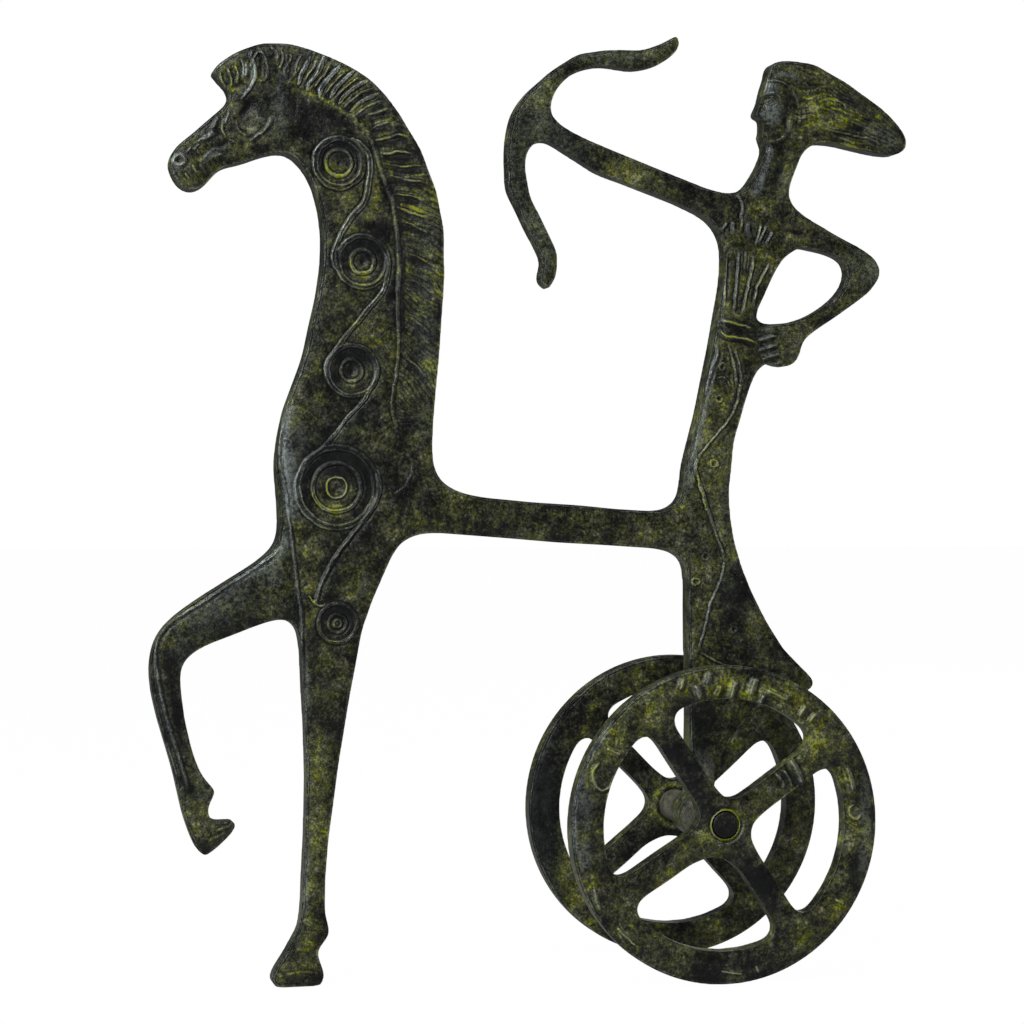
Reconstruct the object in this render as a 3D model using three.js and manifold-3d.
import * as THREE from "three";
import { mergeVertices } from "three/addons/utils/BufferGeometryUtils.js";
import Module from "manifold-3d";

// A tabletop bronze in the archaic Greek manner: a tall horse draws a two-wheeled chariot in which
// an archer in a long dress stands with a drawn-out bow arm. Horse, shaft, archer, bow and axle are
// one flat casting, and two cast wheels turn on the ends of the axle.
// Millimetres, +Z up. The horse faces -X, the side that shows is -Y, and the ground is Z = 0.

const wasm = await Module();
wasm.setup();

// Wheels: radius, rim width, thickness, and where they stand. Each wheel has four cast spokes, by
// angle in degrees and width, and four openings, by the hub's radius behind each.
const WHEEL_RADIUS = 40.2;
const RIM_WIDTH = 8.3;
const WHEEL_THICKNESS = 5;
const WHEEL_EDGE = 1.2;
const OPENING_CORNER = 4.5;
const HUB_FILLET = 4;
const RIM_SIDES = 40;
const AXLE_X = 42.2;
const HALF_TRACK = 22.2;
const NEAR_SPOKES = [[34.8, 6.8], [124, 6.2], [212, 7], [303.6, 6.2]];
const FAR_SPOKES = [[41.5, 6.6], [135, 6], [219.5, 6.4], [312, 6.6]];
const HUB_RADII = [6.6, 6.8, 8.2, 6.8];

// Axle: a barrel between the wheels, swollen where it joins the plate, with a pin through each hub
// and a coned head that lies flush in the hub's face and keeps the wheel on.
const BARREL_RADIUS = 4.3;
const BARREL_SWELL = 5.8;
const PIN_RADIUS = 2.7;
const HEAD_RADIUS = 3.4;
const HEAD_LENGTH = 1.8;
const RUNNING_GAP = 0.3;
const ROUND_SIDES = 16;

// Casting: thickness over the horse, the archer and the thin limbs, and how far its edges slope.
const BODY_THICKNESS = 7;
const LEG_THICKNESS = 5.6;
const FIGURE_THICKNESS = 6;
const LIMB_THICKNESS = 4.8;
const CAST_EDGE = 1.5;
const ROOM_SHARE = 0.8;
const FLATNESS = 0.35;

// The ranges over which the thickness changes: up the legs, from the horse's neck to the archer, and
// out along the bow arm and the arm on the hip.
const LEG_RISE = [50, 105];
const NECK_TO_FIGURE = [-28, -12];
const BOW_ARM_REACH = [30, 48];
const BOW_ARM_RISE = [160, 180];
const HIP_ARM_REACH = [64, 74];
const HIP_ARM_RISE = [140, 155];
const HIP_ARM_TOP = [198, 204];

// Raised work: the width of a line, how far it stands above the face, and how far the middle of
// its solid is sunk below the face.
const LINE_WIDTH = 1.3;
const LINE_HEIGHT = 0.6;
const SINK = 0.3;
const NEAR_CIRCLE_SIDES = 4;
const FAR_CIRCLE_SIDES = 2.9;
const NEAR_SIDE = -1;
const FAR_SIDE = 1;

const bronze = new THREE.MeshStandardMaterial({ color: 0x2b2f22, roughness: 0.45, metalness: 0.8 });

// A closed geometry as a solid that can be joined and cut.
function solid(geometry) {
  const bare = geometry.clone();
  bare.deleteAttribute("normal");
  bare.deleteAttribute("uv");
  const merged = mergeVertices(bare, 1e-4);
  const mesh = new wasm.Mesh({
    numProp: 3,
    vertProperties: merged.attributes.position.array,
    triVerts: new Uint32Array(merged.index.array),
  });
  return new wasm.Manifold(mesh);
}

function join(solids) {
  return solids.reduce((whole, piece) => whole.add(piece));
}

function named(name, piece) {
  const { vertProperties, triVerts } = piece.getMesh();
  const geometry = new THREE.BufferGeometry();
  geometry.setAttribute("position", new THREE.BufferAttribute(vertProperties, 3));
  geometry.setIndex(new THREE.BufferAttribute(triVerts, 1));
  geometry.computeVertexNormals();
  const mesh = new THREE.Mesh(geometry, bronze);
  mesh.name = name;
  return mesh;
}

// A smooth run through points of the XZ plane. A span that bulges has a point halfway.
function run(points) {
  const through = points.map(([x, z]) => new THREE.Vector3(x, z, 0));
  const curve = new THREE.CatmullRomCurve3(through, false, "centripetal");
  const samples = curve.getPoints(2 * (points.length - 1));
  const kept = samples.filter((point, i) => {
    if (i % 2 === 0) return true;
    const chordMiddle = samples[i - 1].clone().lerp(samples[i + 1], 0.5);
    return point.distanceTo(chordMiddle) > FLATNESS;
  });
  return kept.map((p) => new THREE.Vector2(p.x, p.y));
}

// A closed outline of smooth stretches that meet at corners, each going on from the one before.
function outline(stretches) {
  return stretches.flatMap((points, i) => run([stretches.at(i - 1).at(-1), ...points]).slice(1));
}

// How far each outline point is drawn into the metal for a sloped edge: the edge's width, or less
// where the plate is too narrow for it. The first ring is the outside and the others are openings.
function slopeMoves(rings, edge) {
  const moves = new Map();
  rings.forEach((ring, ringIndex) => {
    const side = THREE.ShapeUtils.isClockWise(ring) === ringIndex > 0 ? 1 : -1;
    ring.forEach((point, i) => {
      const before = point.clone().sub(ring.at(i - 1)).normalize();
      const after = ring[(i + 1) % ring.length].clone().sub(point).normalize();
      const along = before.add(after).normalize();
      const inward = new THREE.Vector2(-along.y * side, along.x * side);
      const room = rings.flat().map((other) => {
        const away = other.clone().sub(point);
        const ahead = away.dot(inward);
        return ahead > 1e-6 ? (ROOM_SHARE * away.lengthSq()) / (2 * ahead) : edge;
      });
      moves.set(placeKey(point.x, point.y), inward.multiplyScalar(Math.min(edge, ...room)));
    });
  });
  return moves;
}

const placeKey = (x, z) => `${Math.fround(x)} ${Math.fround(z)}`;

// A plate in the XZ plane, centred on Y = 0, of the given outline rings. It has three layers: the
// middle one is its rim, and its faces are drawn in from the rim and stand out by the slope's depth.
const LAYERS = 3;

function plate(rings, halfThicknessAt, edge, slopeDepth = edge) {
  const moves = slopeMoves(rings, edge);
  const shape = new THREE.Shape(rings[0]);
  shape.holes = rings.slice(1).map((ring) => new THREE.Path(ring));
  const geometry = new THREE.ExtrudeGeometry(shape, {
    depth: LAYERS,
    steps: LAYERS,
    bevelEnabled: false,
  });
  const position = geometry.attributes.position;
  for (let i = 0; i < position.count; i++) {
    const x = position.getX(i);
    const z = position.getY(i);
    const layer = position.getZ(i) - LAYERS / 2;
    const onFace = Math.abs(layer) > LAYERS / 4;
    const move = onFace ? moves.get(placeKey(x, z)) : new THREE.Vector2();
    const depth = halfThicknessAt(x, z) - (onFace ? 0 : slopeDepth);
    position.setXYZ(i, x + move.x, -Math.sign(layer) * depth, z + move.y);
  }
  return geometry;
}

// Ease from 0 to 1 while a value goes through a range.
const ease = ([from, to], value) => THREE.MathUtils.smoothstep(value, from, to);

// Half the casting's thickness at a place on its outline plane.
function castingHalf(x, z) {
  const horse = THREE.MathUtils.lerp(LEG_THICKNESS, BODY_THICKNESS, ease(LEG_RISE, z));
  const bowArm = (1 - ease(BOW_ARM_REACH, x)) * ease(BOW_ARM_RISE, z);
  const hipArm = ease(HIP_ARM_REACH, x) * ease(HIP_ARM_RISE, z) * (1 - ease(HIP_ARM_TOP, z));
  const figure = THREE.MathUtils.lerp(FIGURE_THICKNESS, LIMB_THICKNESS, Math.max(bowArm, hipArm));
  return THREE.MathUtils.lerp(horse, figure, ease(NECK_TO_FIGURE, x)) / 2;
}

// The one-piece casting's outline, from the forelock round by the back, the archer and the legs.
// Each list is a smooth stretch that ends at a corner.
const CREST_AND_BACK = [
  [-82.6, 231], [-78.5, 233.8], [-72.5, 236.1], [-66, 236.4], [-54.8, 233.3], [-44.9, 228.2],
  [-37.8, 220.4], [-31.9, 210.9], [-27.8, 200.2], [-25.9, 190.5], [-25.8, 178], [-27.1, 159],
  [-28.7, 141], [-28.6, 131.5],
];
const SHAFT_TOP = [
  [-27.4, 128.2], [-23.2, 124.8], [-15, 122.8], [10, 120.8], [28, 119.4], [34.6, 120.2],
  [37.4, 123.6],
];
const DRESS_FRONT = [
  [38.5, 131], [42, 144.5], [45.8, 162.6], [48.6, 178], [49, 188], [46.9, 193.3], [42, 197],
];
const ARM_UNDER = [[28.9, 202], [15, 206.8], [5.6, 212.2], [0.5, 214.5], [-3.3, 212.4], [-4.4, 207]];
const LOWER_LIMB_IN = [[-3.1, 200], [1, 192], [4, 185.6], [3.8, 180], [1.7, 176.1]];
const LOWER_TIP = [[-0.8, 178.7]];
const LIMBS_OUT = [
  [0.3, 183.2], [-3.8, 191.5], [-8.8, 201.9], [-9.3, 210], [-7.8, 220.4], [-3.6, 226.8],
  [3.4, 233], [9.6, 236.9], [17, 238.3], [27, 238.8], [32.5, 240.8], [36.2, 243],
];
const LIMBS_IN = [
  [36.8, 240.2], [32, 235.6], [24.6, 233.6], [16, 234.3], [8.7, 232.2], [3.6, 227.2], [2.4, 221.8],
  [5.8, 218.1],
];
const ARM_TOP = [[17, 213.2], [37.6, 205.7], [49.5, 202.2], [55, 204], [58.4, 209], [60.6, 214.6]];
const HAIR = [
  [61.6, 236.2], [66.8, 237.5], [73.5, 236.8], [82.8, 232.2], [92.5, 225.9], [98.4, 220],
  [99.6, 216], [96.4, 213.7], [86, 214.9], [75, 216.3], [70.4, 213.2],
];
const NAPE = [[67.6, 206.6], [66.8, 201.2], [71, 197]];
const HIP_ARM = [
  [80.9, 191.6], [90, 186.8], [92.4, 182.4], [88.9, 177], [79.2, 170], [71, 164.2],
  [69, 158.8], [64.6, 157.1], [60.9, 158.4],
];
const DRESS_BACK = [
  [58, 156], [55, 149.1], [51.6, 137.5], [50.2, 124.3], [51.6, 111.6], [56.4, 98.2],
  [65.1, 83.3], [72.4, 76], [73.8, 73.5], [71.4, 71.7],
];
const TAIL_BACK = [[61.5, 70.2], [53.4, 63.2], [48, 55], [46, 47]];
const TAIL_END = [[45, 40], [42.4, 38], [39.8, 40]];
const TAIL_FRONT = [[39.5, 62], [39.1, 94], [38.4, 105.6]];
const SHAFT_UNDER = [[34.8, 108.7], [26, 109.9], [5, 111.2], [-22, 113.4]];
const BELLY = [
  [-31.2, 113.6], [-37, 111.2], [-41.4, 103.4], [-46.8, 89.7], [-50, 73], [-52.8, 56],
  [-55.5, 36], [-56.3, 18.5],
];
const HOOF_BACK = [[-55.2, 13], [-58.2, 8.6], [-56.5, 2.4], [-57.4, 0]];
const SOLE = [[-68.8, 0]];
const HOOF_FRONT = [
  [-69.9, 2], [-66.3, 8.4], [-62.9, 14.6], [-61.9, 26], [-61, 52], [-62, 77], [-63.2, 89.4],
];
const FORELEG_UNDER = [
  [-66.4, 92.2], [-74, 90.6], [-85.6, 86.2], [-91.8, 82], [-92.4, 74.6], [-89.8, 60.4],
  [-86.8, 53], [-83.8, 49.6],
];
const RAISED_FETLOCK = [[-85.8, 45.4], [-84.6, 42.2], [-79.6, 42.2]];
const RAISED_HOOF = [[-78.6, 41], [-82.8, 36.2], [-86.4, 33.4]];
const FORELEG_TOP = [
  [-88.4, 35.2], [-91.8, 43.8], [-94.4, 55], [-98.4, 69], [-100.1, 80], [-97.8, 89.2],
  [-88, 97.4], [-74, 106.2], [-68.5, 111.6],
];
const CHEST = [
  [-67.9, 120], [-68.7, 131], [-66.6, 144], [-61.6, 158], [-58, 174], [-56.7, 188], [-59, 200.6],
  [-63.2, 207.2],
];
const JAW = [[-67.6, 209.2], [-76.9, 206.4], [-82.4, 204.8], [-86.8, 200.2], [-90.4, 198.9]];
const MUZZLE = [[-93.8, 201.6], [-95.4, 205.6], [-94, 209.1]];
const NOSE_BRIDGE = [[-85.5, 216.8], [-80.2, 222.4], [-81.2, 224.8]];
const FORELOCK = [[-84.8, 228.6]];

// The archer's face in profile: chin, mouth, nose and brow in even thirds of the face's height.
const CHIN_Z = 217;
const FACE_HEIGHT = 15.6;
const FACE_X = 59.4;
const faceZ = (share) => CHIN_Z + share * FACE_HEIGHT;
const CHIN = [[FACE_X, faceZ(-0.05)], [FACE_X - 0.2, faceZ(0.06)], [FACE_X + 0.5, faceZ(0.14)]];
const LOWER_LIP = [[FACE_X, faceZ(0.19)], [FACE_X + 0.6, faceZ(0.235)]];
const UPPER_LIP = [[FACE_X, faceZ(0.275)], [FACE_X + 0.3, faceZ(0.32)]];
const NOSE = [[FACE_X - 1.9, faceZ(0.37)], [FACE_X, faceZ(0.62)]];
const BROW = [[FACE_X, faceZ(0.75)], [FACE_X + 1.6, faceZ(1.02)]];

// The gap between the hand on the hip and the waist.
const HIP_GAP = [
  [65.2, 185.6], [59.9, 175.8], [57.6, 169.4], [61.6, 168.3], [72, 170.4], [81.9, 178],
  [83.2, 184.4], [76.7, 187.4], [69.9, 188.6],
];

function castingPlate() {
  const rim = outline([
    [...CREST_AND_BACK, ...SHAFT_TOP, ...DRESS_FRONT, ...ARM_UNDER, ...LOWER_LIMB_IN],
    LOWER_TIP,
    LIMBS_OUT,
    [...LIMBS_IN, ...ARM_TOP],
    CHIN,
    LOWER_LIP,
    UPPER_LIP,
    NOSE,
    BROW,
    [...HAIR, ...NAPE, ...HIP_ARM],
    DRESS_BACK,
    TAIL_BACK,
    TAIL_END,
    [...TAIL_FRONT, ...SHAFT_UNDER, ...BELLY, ...HOOF_BACK],
    SOLE,
    [...HOOF_FRONT, ...FORELEG_UNDER],
    RAISED_FETLOCK,
    RAISED_HOOF,
    [...FORELEG_TOP, ...CHEST, ...JAW, ...MUZZLE, ...NOSE_BRIDGE],
    FORELOCK,
  ]);
  return solid(plate([rim, outline([HIP_GAP])], castingHalf, CAST_EDGE));
}

// A turned solid about an axis along Y, from a profile of radius and Y.
function turned(profile, sides) {
  const points = profile.map(([radius, y]) => new THREE.Vector2(radius, y));
  if (THREE.ShapeUtils.isClockWise(points)) points.reverse();
  return new THREE.LatheGeometry(points, sides);
}

// A raised circle of triangular section on a face. Wider circles have more sides.
function raisedCircle(x, z, radius, side, faceAt) {
  const fineness = side === NEAR_SIDE ? NEAR_CIRCLE_SIDES : FAR_CIRCLE_SIDES;
  const sides = Math.round(fineness * Math.sqrt(radius + 2));
  const face = side * faceAt(x, z);
  const top = face + side * LINE_HEIGHT;
  const root = face - side * LINE_HEIGHT;
  const rim = [[radius - LINE_WIDTH, root], [radius, top], [radius + LINE_WIDTH, root]];
  const dot = [[0, root], [LINE_WIDTH, root], [0, top]];
  const geometry = turned(radius > LINE_WIDTH ? [...rim, rim[0]] : dot, sides);
  return solid(geometry.translate(x, 0, z));
}

// A raised line along a smooth run of points on a face, drawn to a point at both ends.
function raisedLine(points, side, faceAt, shape = {}) {
  const { width = LINE_WIDTH, height = LINE_HEIGHT, samples = 1 } = shape;
  const curve = new THREE.SplineCurve(points.map((p) => new THREE.Vector2(...p)));
  const bank = (hand) =>
    Array.from({ length: samples }, (_, i) => {
      const along = curve.getTangentAt((i + 1) / (samples + 1));
      const across = new THREE.Vector2(-along.y, along.x).multiplyScalar((hand * width) / 2);
      return curve.getPointAt((i + 1) / (samples + 1)).add(across);
    });
  const plan = [curve.getPointAt(0), ...bank(1), curve.getPointAt(1), ...bank(-1).reverse()];
  const geometry = plate([plan], () => height + SINK, width / 2, height + SINK / 3);
  const position = geometry.attributes.position;
  for (let i = 0; i < position.count; i++) {
    const middle = side * (faceAt(position.getX(i), position.getZ(i)) - SINK);
    position.setY(i, position.getY(i) + middle);
  }
  return solid(geometry);
}

// The horse's roundels, each a place and the radii of its circles, and the line that links them.
const ROUNDELS = [
  [-52.8, 206.9, [6.9, 3.5, 0]],
  [-46.8, 182.2, [7, 3.2]],
  [-49.5, 154.7, [6.8, 3.1]],
  [-53.3, 125.4, [10.7, 5.8, 2.7]],
  [-53.6, 91.7, [5.3, 2.4]],
];
const LINKS = [
  [[-45, 200.4], [-47, 196], [-52, 190.6]],
  [[-41, 175], [-45.4, 168.2], [-53.6, 162.6]],
  [[-45.6, 147.6], [-49.6, 142.4], [-58.4, 136.4]],
  [[-43.4, 118.4], [-49, 111.4], [-56.4, 99.2]],
];

// The mane: its root line down the neck, and the run where its locks end short of the crest.
const MANE_ROOT = [
  [-67, 225], [-55.6, 222.6], [-48.5, 216.3], [-43.4, 209.2], [-38.8, 196.7], [-37.2, 182],
  [-37.6, 164], [-38.6, 148],
];
const MANE_ENDS = [
  [-66, 234.4], [-55.1, 230.8], [-46, 225.4], [-39.8, 218.4], [-34.4, 209.4], [-30.2, 199.4],
  [-28.2, 190], [-28, 178], [-29.2, 159], [-30.8, 139.5],
];
const NEAR_MANE_LOCKS = 22;
const FAR_MANE_LOCKS = 9;
const LOCK_SHAPE = { width: 1.9, height: 0.7 };
const LOCK_SETBACK = 0.12;

// The horse's head: strokes of the forelock, the ear, eye and mouth, and the nostril's place.
const FORELOCK_LINES = [
  [[-80.2, 227], [-81.8, 230.2]],
  [[-78, 227.6], [-79.2, 232]],
  [[-76.2, 229.4], [-76.2, 233.4]],
];
const HEAD_LINES = [
  [[-78, 224.4], [-75, 228.2], [-73.8, 232], [-71.9, 229.6], [-72.6, 226.4]],
  [[-74.5, 217.8], [-73.7, 216], [-74.9, 213.6], [-77.4, 212.4]],
  [[-86.6, 211.4], [-84.5, 208.7], [-82, 209.3]],
];
const NOSTRIL = [-92.2, 206.1, 1.35];

// The archer: folds over the chest and waist, belt, the line round the dress, and locks of hair.
const DRESS_LINES = [
  [[53.4, 187.2], [52, 171]],
  [[56.9, 186.8], [54.1, 171]],
  [[61.2, 184.4], [56.8, 173.4]],
  [[51.2, 194.5], [52.2, 190.6]],
  [[57.8, 193.6], [56.5, 189.4]],
  [[60.8, 192.2], [59.4, 188.4]],
  [[48.4, 169.1], [57.2, 167.3]],
  [[48.2, 164.5], [57.4, 163]],
];
const DRESS_SPIRAL = [
  [48, 164], [52, 153.8], [52.2, 147.2], [47.3, 139.6], [41.9, 133.1], [44.1, 119.3],
  [48.5, 107.1], [47.4, 99.2], [42.6, 84],
];
const HAIR_LINES = [
  [[61.6, 231.6], [65.5, 231.6], [68.8, 229.3], [69.4, 224]],
  [[69.6, 230.4], [77, 231.2], [83.6, 228.6]],
  [[71, 226.4], [80.8, 227.4], [89.2, 224.2]],
  [[71.3, 222.4], [80.8, 223], [92.4, 220]],
  [[71.3, 218.6], [83.6, 218.4], [95.4, 216.4]],
];
const EYE_LINE = [[61.8, faceZ(0.64)], [64.6, faceZ(0.65)]];

// The hand on the hip: a mound for its back, and four fingers over it.
const HAND_BACK = [[75, 167.4], [69, 164], [60.5, 162.4]];
const HAND_SHAPE = { width: 6.4, height: 0.8, samples: 3 };
const FINGERS = [
  [[66.9, 166.6], [58, 165]],
  [[65.8, 164.2], [57.8, 162.8]],
  [[65, 161.7], [58.6, 160.8]],
  [[66, 159.9], [61, 159.3]],
];
const FINGER_SHAPE = { height: 1.4 };

// Marks on the wheels: a ring round each pin, short bars across the near rim, by angle, and bars
// across one near spoke, by distance from the hub.
const HUB_RING_RADIUS = 5.4;
const RIM_MARKS = [54, 70, 75, 82, 98, 103, 110];
const RIM_MARK_ENDS = [33, 38.6];
const SPOKE_MARKS = [25.5, 28.5];
const SPOKE_MARK_LENGTH = 4.6;

function maneLocks(side, count) {
  const [roots, ends] = [MANE_ROOT, MANE_ENDS].map(
    (points) => new THREE.SplineCurve(points.map((p) => new THREE.Vector2(...p))),
  );
  return Array.from({ length: count }, (_, i) => {
    const share = i / (count - 1);
    const end = ends.getPointAt(share);
    const root = roots.getPointAt(share).lerp(end, LOCK_SETBACK);
    return raisedLine([root.toArray(), end.toArray()], side, castingHalf, LOCK_SHAPE);
  });
}

function axle() {
  const shoulder = HALF_TRACK - WHEEL_THICKNESS / 2 - RUNNING_GAP;
  const end = HALF_TRACK + WHEEL_THICKNESS / 2 - RUNNING_GAP / 2;
  const profile = [
    [BARREL_SWELL, FIGURE_THICKNESS / 3],
    [BARREL_RADIUS, 2 * BARREL_SWELL],
    [BARREL_RADIUS, shoulder],
    [PIN_RADIUS, shoulder],
    [PIN_RADIUS, end - HEAD_LENGTH],
    [HEAD_RADIUS, end],
    [0, end],
  ];
  const mirrored = profile.map(([radius, y]) => [radius, -y]).reverse();
  return solid(turned([...mirrored, ...profile], ROUND_SIDES).translate(AXLE_X, 0, WHEEL_RADIUS));
}

function casting() {
  const lineOn = (side) => (points) => raisedLine(points, side, castingHalf);
  const longLineOn = (side) => (points) =>
    raisedLine(points, side, castingHalf, { samples: points.length });
  const circlesOn = (side, most) =>
    ROUNDELS.flatMap(([x, z, radii]) =>
      radii.slice(0, most).map((radius) => raisedCircle(x, z, radius, side, castingHalf)),
    );
  const near = [
    ...circlesOn(NEAR_SIDE),
    ...LINKS.map(longLineOn(NEAR_SIDE)),
    ...maneLocks(NEAR_SIDE, NEAR_MANE_LOCKS),
    ...[...FORELOCK_LINES, ...DRESS_LINES, EYE_LINE].map(lineOn(NEAR_SIDE)),
    ...[MANE_ROOT, ...HEAD_LINES, DRESS_SPIRAL, ...HAIR_LINES].map(longLineOn(NEAR_SIDE)),
    raisedCircle(...NOSTRIL, NEAR_SIDE, castingHalf),
    raisedLine(HAND_BACK, NEAR_SIDE, castingHalf, HAND_SHAPE),
    ...FINGERS.map((points) => raisedLine(points, NEAR_SIDE, castingHalf, FINGER_SHAPE)),
  ];
  const far = [
    ...circlesOn(FAR_SIDE, 1),
    ...maneLocks(FAR_SIDE, FAR_MANE_LOCKS),
    ...HAIR_LINES.slice(2).map(lineOn(FAR_SIDE)),
  ];
  return join([castingPlate(), axle(), ...near, ...far]);
}

// An opening between two spokes: a rounded triangle between the hub and the rim.
function wheelOpening([fromDegrees, fromWidth], [toDegrees, toWidth], hubRadius) {
  const inner = WHEEL_RADIUS - RIM_WIDTH;
  const hubReach = hubRadius + HUB_FILLET;
  const edge = (degrees, halfWidth) => {
    const angle = THREE.MathUtils.degToRad(degrees);
    const rimReach = Math.sqrt(inner ** 2 - halfWidth ** 2);
    const at = (distance) => [
      distance * Math.cos(angle) - halfWidth * Math.sin(angle),
      distance * Math.sin(angle) + halfWidth * Math.cos(angle),
    ];
    const arc = angle + Math.asin(halfWidth / inner) + (Math.sign(halfWidth) * OPENING_CORNER) / inner;
    return { arc, atHub: at(hubReach), atCorner: at(rimReach - OPENING_CORNER), atRim: at(rimReach) };
  };
  const from = edge(fromDegrees, fromWidth / 2);
  const to = edge(toDegrees, -toWidth / 2);
  const hubMiddle = from.atHub.map((value, i) => (value + to.atHub[i]) / 2);
  const pull = (2 * hubRadius) / Math.hypot(...hubMiddle) - 1;
  const path = new THREE.Path();
  path.moveTo(...from.atHub);
  path.lineTo(...from.atCorner);
  path.quadraticCurveTo(...from.atRim, inner * Math.cos(from.arc), inner * Math.sin(from.arc));
  path.absarc(0, 0, inner, from.arc, to.arc, false);
  path.quadraticCurveTo(...to.atRim, ...to.atCorner);
  path.lineTo(...to.atHub);
  path.quadraticCurveTo(pull * hubMiddle[0], pull * hubMiddle[1], ...from.atHub);
  return path.getPoints(3).slice(1);
}

// Raised bars across the rim and across the first spoke, each from one place to another.
function wheelMarks(spokes) {
  const turn = (angleDegrees, distance, offset = 0) => {
    const place = new THREE.Vector2(distance, offset);
    return place.rotateAround(new THREE.Vector2(), THREE.MathUtils.degToRad(angleDegrees)).toArray();
  };
  const onRim = RIM_MARKS.map((angle) => RIM_MARK_ENDS.map((distance) => turn(angle, distance)));
  const half = SPOKE_MARK_LENGTH / 2;
  const onSpoke = SPOKE_MARKS.map((distance) => [
    turn(spokes[0][0], distance, -half),
    turn(spokes[0][0], distance, half),
  ]);
  return [...onRim, ...onSpoke];
}

// The bore through a hub, coned at its outer end to clear the head of the pin.
function boreCutter(side) {
  const half = WHEEL_THICKNESS / 2;
  const bore = PIN_RADIUS + RUNNING_GAP;
  const outside = half + 1;
  const coneStart = half - HEAD_LENGTH - RUNNING_GAP / 2;
  const slope = (HEAD_RADIUS - PIN_RADIUS) / HEAD_LENGTH;
  const mouth = bore + slope * (outside - coneStart) + RUNNING_GAP / 2;
  const profile = [[0, -outside], [bore, -outside], [bore, coneStart], [mouth, outside], [0, outside]];
  return solid(turned(profile.map(([radius, y]) => [radius, side * y]), ROUND_SIDES));
}

function wheel(name, spokes, side, marks) {
  const halfStep = Math.PI / RIM_SIDES;
  const corner = WHEEL_RADIUS / Math.cos(halfStep);
  const rim = Array.from({ length: RIM_SIDES }, (_, i) => {
    const angle = (2 * i + 1) * halfStep;
    return new THREE.Vector2(corner * Math.cos(angle), corner * Math.sin(angle));
  });
  const openings = spokes.map((from, i) => {
    const [angle, width] = spokes[(i + 1) % spokes.length];
    return wheelOpening(from, [angle > from[0] ? angle : angle + 360, width], HUB_RADII[i]);
  });
  const half = WHEEL_THICKNESS / 2;
  const disc = solid(plate([rim, ...openings], () => half, WHEEL_EDGE));
  const hubRing = raisedCircle(0, 0, HUB_RING_RADIUS, side, () => half);
  const raised = marks.map((points) => raisedLine(points, side, () => half));
  const made = join([disc, hubRing, ...raised]).subtract(boreCutter(side));
  const mesh = named(name, made);
  mesh.position.set(AXLE_X, side * HALF_TRACK, WHEEL_RADIUS);
  return mesh;
}

const chariot = new THREE.Group();
chariot.add(named("chariot_casting", casting()));
chariot.add(wheel("wheel_near", NEAR_SPOKES, NEAR_SIDE, wheelMarks(NEAR_SPOKES)));
chariot.add(wheel("wheel_far", FAR_SPOKES, FAR_SIDE, []));
export default chariot;
